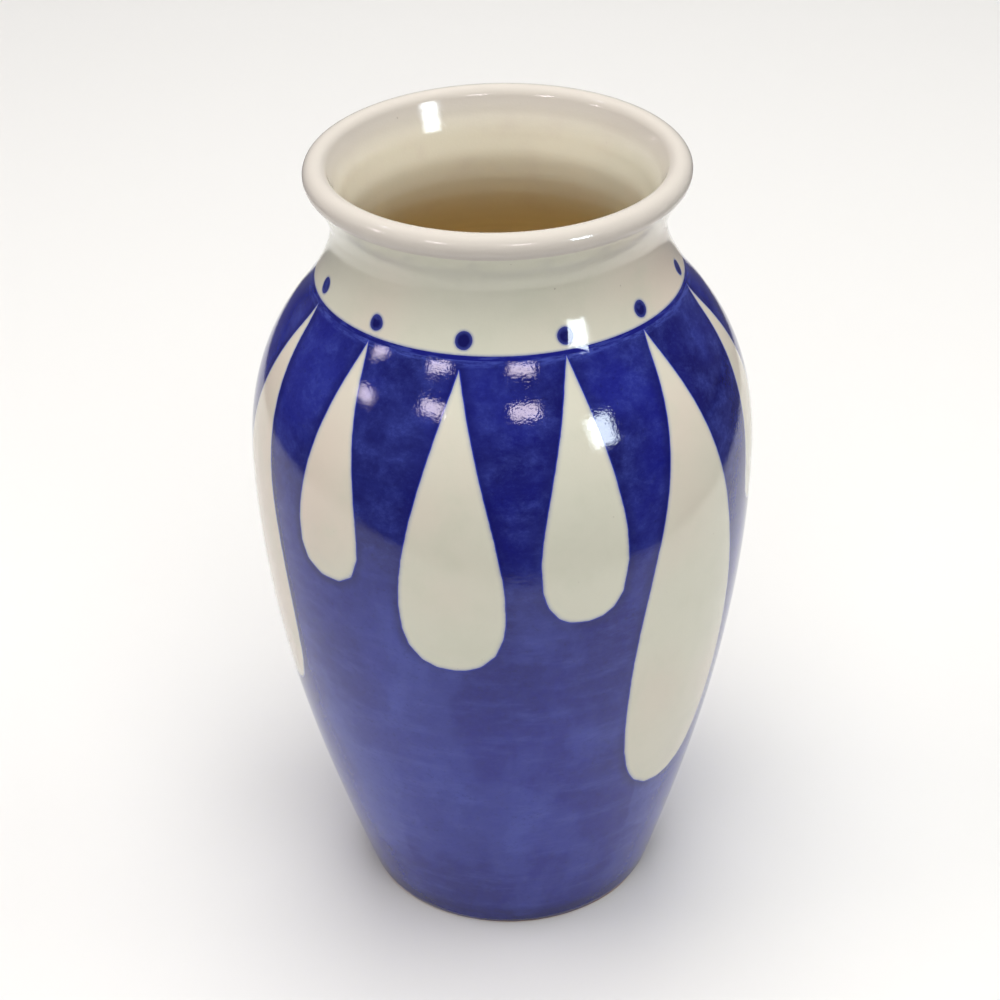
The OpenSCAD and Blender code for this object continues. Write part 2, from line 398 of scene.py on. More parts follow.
# Teardrops are cut in a stencil, so their outlines are in flat millimetres below the glaze line
drops = {
    "count": 12,
    "first": 48.0,   # degrees round from the front
    "order": ["long", "short", "medium", "broad"] * 2 + ["slim", "short", "medium", "broad"],
    "named": {"broad": "short", "slim": "long"},   # kinds whose pieces share another kind's name
    "long": {"length": 193.5, "width": 55.6, "taper": 127.5, "gap": 0.1},
    "short": {"length": 86.5, "width": 28.4, "taper": 69.0, "gap": 0.1},
    "medium": {"length": 111.0, "width": 39.2, "taper": 83.5, "gap": 3.0},
    "broad": {"length": 94.5, "width": 33.0, "taper": 70.0, "gap": 0.1},
    "slim": {"length": 158.5, "width": 43.0, "taper": 111.5, "gap": 0.1},
    "curvePoints": (200, 120),   # on a flank and on half of the bottom
    "tipPull": (0.45, 0.33),   # shares of the half width and of the taper
    "flankPull": 0.72,
    "restPull": 0.6,
    "bottomPull": 0.76,
    "cutEvery": (7.0, 15.0),   # length of one snip of the scissors that cut the stencil
    "bottomSnips": 0.45,   # how much shorter the snips are round the bottom
    "bottomShare": 0.12,   # and over what share of the outline
    "snipShare": 0.9,   # 1 is straight snips, 0 is the smooth curve
    "blunt": 0.35,   # how far the corners between snips are rounded
    "ragged": 0.09,
    "raggedOver": 13,   # points that one wave of the ragged edge is spread over
    "calmTip": 6.0,   # millimetres from the tip where the edge turns ragged
    # degrees that each drop is off its place, and that its tip leans
    "turn": (0.0, 1.4, -0.5, 0.6, -0.8, 0.4, 0.7, -0.4, 0.0, 0.0, 0.2, -0.3),
    "tipTurn": (-1.1, 1.8, 0.5, -0.9, 1.0, -0.6, 0.4, -1.1, 0.6, 0.0, 0.1, 1.1),
    "fine": 0.25,
    "step": 0.9,
    "rings": (0.3, 0.7, 1.3, 2.2),   # rows of points beside the outline, in millimetres from it
    "spacing": 3.0,
    "seed": 100,
}
dots = {
    "width": 5.8,
    "rise": 5.1,   # above the painted line
    "riseDrift": 0.3,
    "sizeDrift": (0.94, 1.07),
    "tall": 1.06,
    "turn": (0.7, 2.2, -0.4, 0.5, 0.2, -0.6, 0.4, 0.8, 0.0, 0.9, 0.8, 1.8),
    "ragged": 0.036,
    "waves": (2, 3, 4, 5),
    "step": 0.35,
    "rings": (0.3, 0.7),
    "spacing": 0.9,
    "seed": 300,
}


def placeRound(i, turn):
    return math.radians(drops["first"] + i * 360.0 / drops["count"] + turn)


def smoothTeardrop(kind):
    w = kind["width"] / 2
    taper, length = kind["taper"], kind["length"]
    rest = length - taper
    wide, deep = drops["tipPull"]
    flankPoints, lowerPoints = drops["curvePoints"]
    flank = bezier(np.array([0, 0]), np.array([w * wide, -taper * deep]),
                   np.array([w, -taper * drops["flankPull"]]), np.array([w, -taper]), flankPoints)
    lower = bezier(flank[-1], np.array([w, -taper - rest * drops["restPull"]]),
                   np.array([w * drops["bottomPull"], -length]), np.array([0, -length]), lowerPoints)
    half = np.concatenate([flank, lower[1:]])
    other = half[::-1] * np.array([-1, 1])
    return evenly(np.concatenate([half, other[1:]]), drops["fine"])


def snipped(curve, seed):
    # a stencil cut with scissors: short straight snips that keep near the smooth curve
    random = np.random.default_rng(seed)
    run = measured(curve)
    shortest, longest = drops["cutEvery"]
    at = [0.0]
    while at[-1] < run[-1]:
        fromBottom = (at[-1] / run[-1] - 0.5) / drops["bottomShare"]
        shorter = 1.0 - drops["bottomSnips"] * math.exp(-fromBottom ** 2)
        at.append(at[-1] + random.uniform(shortest, longest) * shorter)
    at = np.array(at[:-1] + [run[-1]])
    corners = np.stack([np.interp(at, run, curve[:, k]) for k in (0, 1)], axis=1)
    straight = np.stack([np.interp(run, at, corners[:, k]) for k in (0, 1)], axis=1)
    cut = curve + (straight - curve) * drops["snipShare"]
    cut = cut + sideways(curve) * np.abs(straight - curve).max(axis=1).mean() * drops["snipShare"]
    over = drops["raggedOver"]
    draws = random.normal(0, 1, len(run) + over - 1)
    wave = np.convolve(draws, np.hanning(over) / ((over - 1) / 2), "valid")[:len(run)]
    calm = np.clip(np.minimum(run, run[-1] - run) / drops["calmTip"], 0.0, 1.0)
    cut = cut + sideways(curve) * (wave * drops["ragged"] * calm)[:, None]
    return evenly(softened(cut, drops["fine"], drops["blunt"]), drops["step"])


def teardropOutline(i):
    kind = drops[drops["order"][i]]
    curve = snipped(smoothTeardrop(kind), drops["seed"] + i)
    share = np.clip(1 + curve[:, 1] / kind["taper"], 0.0, 1.0)
    run = runAtHeight(pot["lineZ"] - kind["gap"] + curve[:, 1])
    across = np.arcsin(np.clip(curve[:, 0] / radiusAt(run), -0.99, 0.99))
    tip = math.radians(drops["tipTurn"][i] - drops["turn"][i])
    angle = placeRound(i, drops["turn"][i]) + across + tip * share ** 2
    return np.stack([angle, run], axis=1)[:-1]


def dotOutline(i):
    random = np.random.default_rng(dots["seed"] + i)
    middle = placeRound(i, dots["turn"][i])
    run = marks["blueTop"] + dots["rise"] + random.uniform(-dots["riseDrift"], dots["riseDrift"])
    size = dots["width"] / 2 * random.uniform(*dots["sizeDrift"])
    turn = np.linspace(0, 2 * math.pi, int(2 * math.pi * size / dots["step"]), endpoint=False)
    wave = sum(random.normal() * np.cos(k * turn + random.uniform(0, 6)) / k for k in dots["waves"])
    reach = size * (1 + dots["ragged"] * wave)
    angle = middle + reach * np.cos(turn) / float(radiusAt(run))
    return np.stack([angle, run + reach * dots["tall"] * np.sin(turn)], axis=1)


# Coats are triangulated on the unrolled surface, then wrapped round the pot
coats = {
    "flatR": 80.0,   # the radius at which the surface is unrolled
    "seam": -148.5,   # degrees round from the front, where a coat is cut open
    "weld": 1e-6,
    "sewn": 1e-3,
    "clear": 0.93,   # a row's point goes where the outline comes nearer than this share
    "leastShare": 0.8,   # of the first row's gap, the least distance between loose points
    "leastInPatch": 0.25,
    "leastInCoat": 0.3,
    "patchRoom": 0.5,   # spacings left between the last row and the grid
    "coatRoom": 0.45,
    "borderRoom": 0.2,
    "blueSpacing": 3.2,
    "collarSpacing": 2.2,
    "collarRings": (0.35, 0.9, 1.8),
    "lineRows": 7,
    "lineColumns": 360,
    "rimRows": 40,
    "rimColumns": 300,
    "liningStep": 2.4,
    "liningColumns": 240,
    "liningLast": 2.0,   # no row comes nearer the middle than this, but for the last
    "pinhole": 0.06,
}
flatR = coats["flatR"]


def flatOf(border):
    return np.stack([border[:, 0] * flatR, border[:, 1]], axis=1)


def trueGap(points, beside):
    # distance on the pot itself between unrolled points and the nearest points of an outline
    finder = KDTree(len(beside))
    for k, p in enumerate(onPot(beside[:, 0] / flatR, beside[:, 1])):
        finder.insert(p, k)
    finder.balance()
    return np.array([finder.find(p)[2] for p in onPot(points[:, 0] / flatR, points[:, 1])])


def insidePolygon(points, polygon):
    x, y = points[:, 0], points[:, 1]
    hit = np.zeros(len(points), bool)
    ax, ay = polygon[-1]
    for bx, by in polygon:
        crosses = (ay > y) != (by > y)
        if crosses.any():
            hit ^= crosses & (x < (bx - ax) * (y - ay) / (by - ay + 1e-12) + ax)
        ax, ay = bx, by
    return hit


def ringsBeside(polygon, offsets, side):
    # rows of points beside an outline, so that the bleed along it has something to fade across
    r = radiusAt(polygon[:, 1])
    scale = np.stack([r / flatR, np.ones_like(r)], axis=1)
    true = polygon * scale
    step = np.roll(true, -1, axis=0) - np.roll(true, 1, axis=0)
    step /= np.maximum(np.hypot(step[:, 0], step[:, 1]), 1e-9)[:, None]
    out = np.stack([step[:, 1], -step[:, 0]], axis=1) * side
    rows = []
    for gap in offsets:
        row = polygon + out * gap / scale
        rows.append(row[trueGap(row, polygon) > gap * coats["clear"]])
    return np.concatenate(rows)


def thinned(points, least):
    # drops points nearer than least to one already kept
    kept = []
    cells = {}
    for p in points:
        column, row = int(p[0] // least), int(p[1] // least)
        around = [(column + i, row + j) for i in (-1, 0, 1) for j in (-1, 0, 1)]
        near = [q for key in around for q in cells.get(key, ())]
        if all((p[0] - q[0]) ** 2 + (p[1] - q[1]) ** 2 >= least * least for q in near):
            cells.setdefault((column, row), []).append(p)
            kept.append(p)
    return np.array(kept).reshape(-1, 2)


def triangulate(rim, loose, loops):
    # rim and loops are closed outlines that stay as edges; loose points fill the middle
    points = [tuple(p) for p in rim]
    edges = [(k, (k + 1) % len(rim)) for k in range(len(rim))]
    for loop in loops:
        start = len(points)
        points += [tuple(p) for p in loop]
        edges += [(start + k, start + (k + 1) % len(loop)) for k in range(len(loop))]
    points += [tuple(p) for p in loose]
    found, _, triangles, _, _, _ = delaunay_2d_cdt([Vector(p) for p in points], edges, [], 0, coats["weld"])
    found = np.array([tuple(p) for p in found])
    triangles = np.array([list(t) for t in triangles])
    middle = found[triangles].mean(axis=1)
    keep = insidePolygon(middle, rim)
    for loop in loops:
        keep &= ~insidePolygon(middle, loop)
    return found, anticlockwise(found, triangles[keep])


def anticlockwise(points, triangles):
    a, b, c = (points[triangles[:, k]] for k in (0, 1, 2))
    area = (b[:, 0] - a[:, 0]) * (c[:, 1] - a[:, 1]) - (b[:, 1] - a[:, 1]) * (c[:, 0] - a[:, 0])
    turned = triangles.copy()
    turned[area < 0] = turned[area < 0][:, ::-1]
    return turned[np.abs(area) > 1e-9]


def dense(loop):
    following = np.roll(loop, -1, axis=0)
    return np.concatenate([loop + (following - loop) * t for t in (0.0, 0.25, 0.5, 0.75)])


def spine(flat):
    # points midway between the two flanks, where the tip is too narrow for rows beside the outline
    quarter = len(flat) // 2 // 2
    return (flat[1:quarter] + flat[::-1][:quarter - 1]) / 2


def patchPiece(name, border, made, node):
    # one teardrop or dot
    flat = flatOf(border)
    spacing, offsets = made["spacing"], made["rings"]
    low, high = flat.min(axis=0), flat.max(axis=0)
    xs = np.arange(low[0], high[0] + spacing, spacing)
    ys = np.arange(low[1], high[1] + spacing, spacing)
    grid = np.stack(np.meshgrid(xs, ys), axis=-1).reshape(-1, 2)
    grid[:, 0] += (np.round((grid[:, 1] - low[1]) / spacing) % 2) * spacing / 2
    grid = grid[insidePolygon(grid, flat)]
    grid = grid[trueGap(grid, flat) > offsets[-1] + spacing * coats["patchRoom"]]
    rows = np.concatenate([ringsBeside(flat, offsets, -1), spine(flat)])
    rows = rows[insidePolygon(rows, flat)]
    least = min(coats["leastInPatch"], offsets[0] * coats["leastShare"])
    points, triangles = triangulate(flat, thinned(np.concatenate([rows, grid]), least), [])
    gaps = trueGap(points, dense(flat))
    return coatFrom(name, points[:, 0] / flatR, points[:, 1], triangles.tolist(), node, gaps)


def sewn(points, triangles, left, right):
    # every point on the right border becomes its twin on the left border
    twin = np.arange(len(points))
    onLeft = {round(float(p[1]), 4): k for k, p in enumerate(points) if abs(p[0] - left) < coats["sewn"]}
    for k, p in enumerate(points):
        if abs(p[0] - right) < coats["sewn"]:
            twin[k] = onLeft[round(float(p[1]), 4)]
    used, packed = np.unique(twin[triangles], return_inverse=True)
    return points[used], packed.reshape(-1, 3)


def windowCoat(name, low, high, windows, offsets, spacing, node, bleedsBelow=False):
    # a coat all the way round with windows in it, cut open at the seam and sewn up again
    left = math.radians(coats["seam"]) * flatR
    right = left + 2 * math.pi * flatR
    loops = []
    for window in windows:
        flat = flatOf(window)
        turns = math.ceil((left - flat[:, 0].mean()) / (2 * math.pi * flatR))
        flat[:, 0] += 2 * math.pi * flatR * turns
        loops.append(flat)
    columns = int(round((right - left) / spacing))
    rows = max(2, int(round((high - low) / spacing)))
    xs = np.linspace(left, right, columns + 1)
    ys = np.linspace(low, high, rows + 1)
    rim = np.concatenate([
        np.stack([xs[:-1], np.full(columns, low)], axis=1),
        np.stack([np.full(rows, right), ys[:-1]], axis=1),
        np.stack([xs[:0:-1], np.full(columns, high)], axis=1),
        np.stack([np.full(rows, left), ys[:0:-1]], axis=1),
    ])
    grid = np.stack(np.meshgrid(xs[1:-1], ys[1:-1]), axis=-1).reshape(-1, 2)
    for loop in loops:
        grid = grid[~insidePolygon(grid, loop)]
    grid = grid[trueGap(grid, np.concatenate(loops)) > offsets[-1] + spacing * coats["coatRoom"]]
    beside = np.concatenate([ringsBeside(loop, offsets, 1) for loop in loops])
    room = coats["borderRoom"]
    beside = beside[(beside[:, 1] > low + room) & (beside[:, 1] < high - room)]
    for loop in loops:
        beside = beside[~insidePolygon(beside, loop)]
    if bleedsBelow:
        above = [np.stack([xs[1:-1], np.full(columns - 1, low + gap)], axis=1) for gap in offsets]
        beside = np.concatenate([beside] + above)
    least = min(coats["leastInCoat"], offsets[0] * coats["leastShare"])
    points, triangles = triangulate(rim, thinned(np.concatenate([beside, grid]), least), loops)
    points, triangles = sewn(points, triangles, left, right)
    gaps = trueGap(points, np.concatenate([dense(loop) for loop in loops]))
    if bleedsBelow:
        gaps = np.minimum(gaps, points[:, 1] - low)
    return coatFrom(name, points[:, 0] / flatR, points[:, 1], triangles.tolist(), node, gaps)


teardrops = [teardropOutline(i) for i in range(drops["count"])]
dotShapes = [dotOutline(i) for i in range(drops["count"])]
pieces = {"drops": [], "dots": []}
made = {}
for i in range(drops["count"]):
    kindName = drops["named"].get(drops["order"][i], drops["order"][i])
    made[kindName] = made.get(kindName, 0) + 1
    name = f"teardrop{kindName.title()}{made[kindName]}"
    node = f"teardrop_{kindName}_{made[kindName]}"
    pieces["drops"].append(patchPiece(name, teardrops[i], drops, node))
    pieces["dots"].append(patchPiece(f"dot{i + 1}", dotShapes[i], dots, f"dot_{i + 1}"))
print("teardrops and dots made")

pieces["blue"] = windowCoat("blueCoat", 0.0, marks["line"], teardrops, drops["rings"],
                            coats["blueSpacing"], "blue_glaze")
pieces["collar"] = windowCoat("collarCoat", marks["blueTop"], marks["beadFoot"], dotShapes,
                              coats["collarRings"], coats["collarSpacing"],
                              "collar_glaze", bleedsBelow=True)
print("blue and collar coats made")

lineRuns = np.linspace(marks["line"], marks["blueTop"], coats["lineRows"])
rimRuns = np.linspace(marks["beadFoot"], marks["beadEnd"], coats["rimRows"])
liningRuns = np.arange(marks["beadEnd"], marks["end"] - coats["liningLast"], coats["liningStep"])
liningRuns = np.concatenate([liningRuns, [marks["end"] - coats["pinhole"]]])
pieces["line"] = ringCoat("brushedLine", lineRuns, coats["lineColumns"], "brushed_line")
pieces["rim"] = ringCoat("rimCoat", rimRuns, coats["rimColumns"], "rim_glaze")
pieces["lining"] = ringCoat("liningCoat", liningRuns, coats["liningColumns"], "lining_glaze")
print("line, rim and lining made")

# The bare clay under the pot: a turned ring and the recessed floor inside it
foot = {
    "ringW": 9.5,
    "recess": 3.0,
    "innerLean": 0.3,   # how far the ring's inner side leans in
    "outerRound": 1.2,
    "innerRound": 1.4,
    "outerPull": ((-0.1, 0.25), (-0.2, 0.02)),   # where the ring's rounded edges are drawn to
    "innerPull": ((0.3, 0.0), (0.0, 0.6)),
    "ringBack": 1.0,   # how far the ring goes up past the recess
    "backIn": 1.5,   # how far its hidden back keeps inside the glaze
    "lipIn": 0.8,
    "lipUp": 0.6,
    "ringPoints": 10,
    "ringColumns": 240,
    "wobble": 0.05,
    "dome": 0.35,
    "grooves": ((0.12, 1.9), (0.05, 4.7)),   # depth and pitch of the turning marks
    "floorRows": 90,
    "floorColumns": 180,
    "floorBack": 3.0,
    "backPinhole": 0.6,
}


def sectionRing(name, section, columns, node, wobble=0.0):
    # turns a closed section of (radius, height) points round the axis, a little out of true
    angles = np.linspace(-math.pi, math.pi, columns, endpoint=False)
    points = []
    for r, z in section:
        swing = wobble * np.sin(3 * angles + z) + wobble * 0.6 * np.sin(7 * angles + 2 * r)
        x = (r + swing) * np.sin(angles)
        y = -(r + swing) * np.cos(angles)
        points.append(np.stack([x, y, np.full(columns, z)], axis=1))
    faces = []
    for row in range(len(section)):
        here, above = row * columns, (row + 1) % len(section) * columns
        for k in range(columns):
            beside = (k + 1) % columns
            faces.append((above + k, above + beside, here + beside, here + k))
    return addMesh(name, np.concatenate(points), faces, node)


def footSection():
    base, recess = pot["baseR"], foot["recess"]
    inner = base - foot["ringW"]
    side = inner - foot["innerLean"]
    backZ = recess + foot["ringBack"]
    top = outline[0]
    above, below = foot["outerPull"]
    edge = bezier(top, np.array([top[0] + above[0], above[1]]), np.array([base + below[0], below[1]]),
                  np.array([base - foot["outerRound"], 0.0]), foot["ringPoints"])
    below, above = foot["innerPull"]
    inside = bezier(np.array([inner + foot["innerRound"], 0.0]), np.array([inner + below[0], below[1]]),
                    np.array([inner + above[0], above[1]]), np.array([side, recess]), foot["ringPoints"])
    lip = [top[0] - foot["lipIn"], top[1] + foot["lipUp"]]
    back = np.array([[side, backZ], [top[0] - foot["backIn"], backZ], lip])
    return np.concatenate([edge, inside, back])


def floorSection():
    rim = pot["baseR"] - foot["ringW"] - foot["innerLean"]
    rings = []
    for r in np.linspace(rim, coats["pinhole"], foot["floorRows"]):
        groove = sum(depth * math.sin(r * pitch) for depth, pitch in foot["grooves"])
        dome = foot["dome"] * (1 - (r / rim) ** 2)
        rings.append([r, foot["recess"] + dome + groove * min(1.0, (rim - r) / 2)])
    rings.append([foot["backPinhole"], foot["recess"] + foot["floorBack"]])
    rings.append([rim, foot["recess"] + foot["floorBack"]])
    return np.array(rings)


pieces["foot"] = sectionRing("footRing", footSection(), foot["ringColumns"], "foot_ring",
                             foot["wobble"])
pieces["floor"] = sectionRing("floorDisc", floorSection(), foot["floorColumns"], "floor_disc")
print("foot made")


def newFinish(name):
    material = bpy.data.materials.new(name)
    material.use_nodes = True
    tree = material.node_tree
    return material, tree, tree.nodes["Principled BSDF"]


def rgb(red, green, blue):
    # a colour as a painter's 0 to 255 values, turned into the shader's linear ones
    def linear(v):
        v = v / 255.0
        return v / 12.92 if v <= 0.04045 else ((v + 0.055) / 1.055) ** 2.4
    return (linear(red), linear(green), linear(blue), 1.0)


def place(tree, squeeze=1.0):
    # the pot's own coordinates, squeezed in height to draw a pattern out level, or less than 1 upright
    coordinates = tree.nodes.new("ShaderNodeTexCoord")
    mapping = tree.nodes.new("ShaderNodeMapping")
    mapping.inputs["Scale"].default_value = (1.0, 1.0, squeeze)
    tree.links.new(coordinates.outputs["Object"], mapping.inputs["Vector"])
    return mapping.outputs["Vector"]


def texture(tree, scale, detail, rough, twist=0.0, squeeze=1.0):
    node = tree.nodes.new("ShaderNodeTexNoise")
    node.inputs["Scale"].default_value = scale
    node.inputs["Detail"].default_value = detail
    node.inputs["Roughness"].default_value = rough
    node.inputs["Distortion"].default_value = twist
    tree.links.new(place(tree, squeeze), node.inputs["Vector"])
    return node.outputs["Fac"]


def spread(tree, value, low, high, toLow=0.0, toHigh=1.0):
    node = tree.nodes.new("ShaderNodeMapRange")
    node.interpolation_type = "SMOOTHSTEP"
    node.inputs["From Min"].default_value = low
    node.inputs["From Max"].default_value = high
    node.inputs["To Min"].default_value = toLow
    node.inputs["To Max"].default_value = toHigh
    tree.links.new(value, node.inputs["Value"])
    return node.outputs["Result"]


def join(tree, socket, value):
    if isinstance(value, (int, float, tuple)):
        socket.default_value = value
    else:
        tree.links.new(value, socket)


def blended(tree, share, first, second):
    node = tree.nodes.new("ShaderNodeMix")
    node.data_type = "RGBA"
    join(tree, node.inputs[6], first)
    join(tree, node.inputs[7], second)
    tree.links.new(share, node.inputs[0])
    return node.outputs[2]


def sums(tree, kind, first, second):
    node = tree.nodes.new("ShaderNodeMath")
    node.operation = kind
    join(tree, node.inputs[0], first)
    join(tree, node.inputs[1], second)
    return node.outputs[0]


def times(tree, first, second):
    return sums(tree, "MULTIPLY", first, second)


def plus(tree, first, second):
    return sums(tree, "ADD", first, second)


def edgeGap(tree):
    # millimetres from the nearest edge of a drop, a dot or the painted line
    node = tree.nodes.new("ShaderNodeAttribute")
    node.attribute_name = "edge"
    return node.outputs["Fac"]


def heightOf(tree):
    coordinates = tree.nodes.new("ShaderNodeTexCoord")
    split = tree.nodes.new("ShaderNodeSeparateXYZ")
    tree.links.new(coordinates.outputs["Object"], split.inputs["Vector"])
    return split.outputs["Z"]


def bump(tree, shader, height, distance):
    node = tree.nodes.new("ShaderNodeBump")
    node.inputs["Distance"].default_value = distance
    tree.links.new(height, node.inputs["Height"])
    tree.links.new(node.outputs["Normal"], shader.inputs["Normal"])


def glossed(tree, shader, body):
    # the painted colour under a clear hard gloss
    tree.links.new(body, shader.inputs["Base Color"])
    shader.inputs["IOR"].default_value = glaze["index"]
    shader.inputs["Roughness"].default_value = glaze["gloss"]


glaze = {
    "gloss": 0.016,
    "index": 1.5,
    "deepBlue": rgb(12, 14, 92),
    "midBlue": rgb(21, 26, 126),
    "lowBlue": rgb(23, 31, 140),
    "paleBlue": rgb(70, 84, 177),
    "inkBlue": rgb(12, 12, 72),
    "rimBlue": rgb(40, 56, 176),
    "lineBlue": rgb(20, 24, 108),
    "dotEdge": rgb(58, 66, 146),
    "bleed": rgb(132, 140, 180),
    "bleedSoft": rgb(190, 192, 190),
    "ivory": rgb(217, 216, 199),
    "ivoryWarm": rgb(221, 209, 194),
    "ivoryCool": rgb(208, 209, 190),
    "rimIvory": rgb(207, 200, 191),
    "liningIvory": rgb(233, 226, 206),
    # painted light: a warm yellow that stands in for light bouncing deep in the throat
    "paintedDeepBounce": rgb(238, 213, 150),
    "speck": rgb(120, 104, 84),
}
# Textures are a scale, detail, roughness, twist and squeeze; the rest are the values that a mask
# goes between, then what it gives at each. Heights are in metres, gaps in millimetres.
blueWash = {
    "clouds": (84.0, 7.0, 0.68, 0.15, 1.2),
    "broad": (19.0, 3.0, 0.5, 0.2, 0.8),
    "strokes": (34.0, 6.0, 0.62, 0.1, 4.0),
    "upright": (32.0, 5.0, 0.55, 0.1, 0.5),
    "hairs": (150.0, 4.0, 0.66, 0.1, 6.0),
    "grain": (520.0, 5.0, 0.75, 0.0, 1.2),
    "pits": (1000.0, 2.0, 0.6),
    "patchWarp": (30.0, 2.0, 0.045),   # scale, detail and how far it shifts the patches
    "patches": (19.0, 0.25, 0.75),   # scale, softness and squeeze
    "lowPart": (0.236, 0.12),
    "lowShare": 0.65,
    "broadMask": (0.38, 0.62),
    "cloudMask": (0.42, 0.68),
    "cloudGrain": (0.32, 0.68, 0.15, 1.0),
    "cloudTopFoot": (0.55, 0.25),   # how strong it is at the top and at the foot
    "strokeMask": (0.45, 0.72),
    "strokeHairs": (0.3, 0.7, 0.45, 1.0),
    "strokeTopFoot": (0.1, 0.42),
    "patchMask": (0.25, 0.75),
    "patchTopFoot": (0.06, 0.3),
    "uprightMask": (0.49, 0.62),
    "uprightTopFoot": (0.06, 0.28),
    "paleGrain": (0.3, 0.5, 0.14, 0.0),
    "darkGrain": (0.52, 0.76, 0.0, 0.5),
    "footDarkHeight": (0.013, 0.006, 0.0, 0.75),
    "footDarkMask": (0.3, 0.6),
    "besideDrops": (0.3, 5.0, 0.75, 0.0),
    "besideMask": (0.3, 0.6),
    "underLine": (0.0026, 0.0008),   # how far under the painted line its drips start and end
    "underHairs": (0.4, 0.65, 0.1, 0.75),
    "paleEdge": (0.1, 0.6, 0.8, 0.0),
    "glossMask": (0.35, 0.7, 0.01, 0.018),
    "orangePeel": 0.000036,   # metres
}


def washPatches(tree):
    # neighbouring loads of the brush differ in tone, with a soft edge where they meet
    warpScale, warpDetail, warpShift = blueWash["patchWarp"]
    patchScale, softness, squeeze = blueWash["patches"]
    warp = tree.nodes.new("ShaderNodeTexNoise")
    warp.inputs["Scale"].default_value = warpScale
    warp.inputs["Detail"].default_value = warpDetail
    tree.links.new(place(tree), warp.inputs["Vector"])
    shift = tree.nodes.new("ShaderNodeVectorMath")
    shift.operation = "SCALE"
    shift.inputs["Scale"].default_value = warpShift
    tree.links.new(warp.outputs["Color"], shift.inputs[0])
    moved = tree.nodes.new("ShaderNodeVectorMath")
    moved.operation = "ADD"
    tree.links.new(place(tree, squeeze), moved.inputs[0])
    tree.links.new(shift.outputs["Vector"], moved.inputs[1])
    cells = tree.nodes.new("ShaderNodeTexVoronoi")
    cells.feature = "SMOOTH_F1"
    cells.inputs["Scale"].default_value = patchScale
    cells.inputs["Smoothness"].default_value = softness
    tree.links.new(moved.outputs["Vector"], cells.inputs["Vector"])
    split = tree.nodes.new("ShaderNodeSeparateXYZ")
    tree.links.new(cells.outputs["Color"], split.inputs["Vector"])
    return split.outputs["X"]


def blueFinish():
    # cobalt brushed on in washes: clouds, level brush strokes, then the grain of the pigment
    material, tree, shader = newFinish("cobaltGlaze")
    names = ("clouds", "broad", "strokes", "upright", "hairs", "grain", "pits")
    clouds, broad, strokes, upright, hairs, grain, pits = (texture(tree, *blueWash[name]) for name in names)
    height = heightOf(tree)
    low = spread(tree, height, *blueWash["lowPart"])

    def mask(value, key):
        return spread(tree, value, *blueWash[key])

    def topToFoot(value, key):
        return times(tree, value, spread(tree, low, 0.0, 1.0, *blueWash[key]))

    def laid(body, share, colour):
        return blended(tree, share, body, glaze[colour])

    body = blended(tree, mask(broad, "broadMask"), glaze["deepBlue"], glaze["midBlue"])
    body = laid(body, times(tree, low, blueWash["lowShare"]), "lowBlue")
    cloudy = times(tree, mask(clouds, "cloudMask"), mask(grain, "cloudGrain"))
    body = laid(body, topToFoot(cloudy, "cloudTopFoot"), "paleBlue")
    brushed = times(tree, mask(strokes, "strokeMask"), mask(hairs, "strokeHairs"))
    body = laid(body, topToFoot(brushed, "strokeTopFoot"), "paleBlue")
    loads = topToFoot(mask(washPatches(tree), "patchMask"), "patchTopFoot")
    loads = plus(tree, loads, topToFoot(mask(upright, "uprightMask"), "uprightTopFoot"))
    body = laid(body, loads, "paleBlue")
    body = laid(body, mask(grain, "paleGrain"), "paleBlue")
    body = laid(body, mask(grain, "darkGrain"), "inkBlue")
    # the blue darkens towards the foot, pools beside the drops, and drips a little under the painted line
    body = laid(body, times(tree, mask(height, "footDarkHeight"), mask(strokes, "footDarkMask")), "deepBlue")
    body = laid(body, times(tree, mask(edgeGap(tree), "besideDrops"), mask(broad, "besideMask")), "deepBlue")
    start, end = (pot["lineZ"] * mm - below for below in blueWash["underLine"])
    body = laid(body, times(tree, spread(tree, height, start, end), mask(hairs, "underHairs")), "paleBlue")
    body = laid(body, mask(edgeGap(tree), "paleEdge"), "rimBlue")
    glossed(tree, shader, body)
    tree.links.new(mask(clouds, "glossMask"), shader.inputs["Roughness"])
    bump(tree, shader, pits, blueWash["orangePeel"])
    return material


ivoryCoat = {
    "drift": (9.0, 2.0, 0.5),
    "driftMask": (0.4, 0.66),
    "mottle": (60.0, 4.0, 0.55),
    "mottleMask": (0.45, 0.75, 0.0, 0.4),
    "specks": (520.0, 1.0, 0.5),
    "speckMask": (0.80, 0.86, 0.0, 0.35),
    "ragged": (600.0, 2.0, 0.5),
    "raggedShare": 0.4,
    "softFrom": (0.1, 0.8),   # where the soft bleed starts, and how strong it is there
    "bleedMask": (0.0, 1.0, 0.85, 0.0),
    "dropBleed": 2.2,   # millimetres that the cobalt has crept into the ivory
    "collarBleed": 1.6,
    "lipHeights": (0.293, 0.3075),
    "paintedBounceHeights": (0.285, 0.225),
    "ripple": (1050.0, 3.0, 0.5),
    "orangePeel": 0.000036,   # metres
}


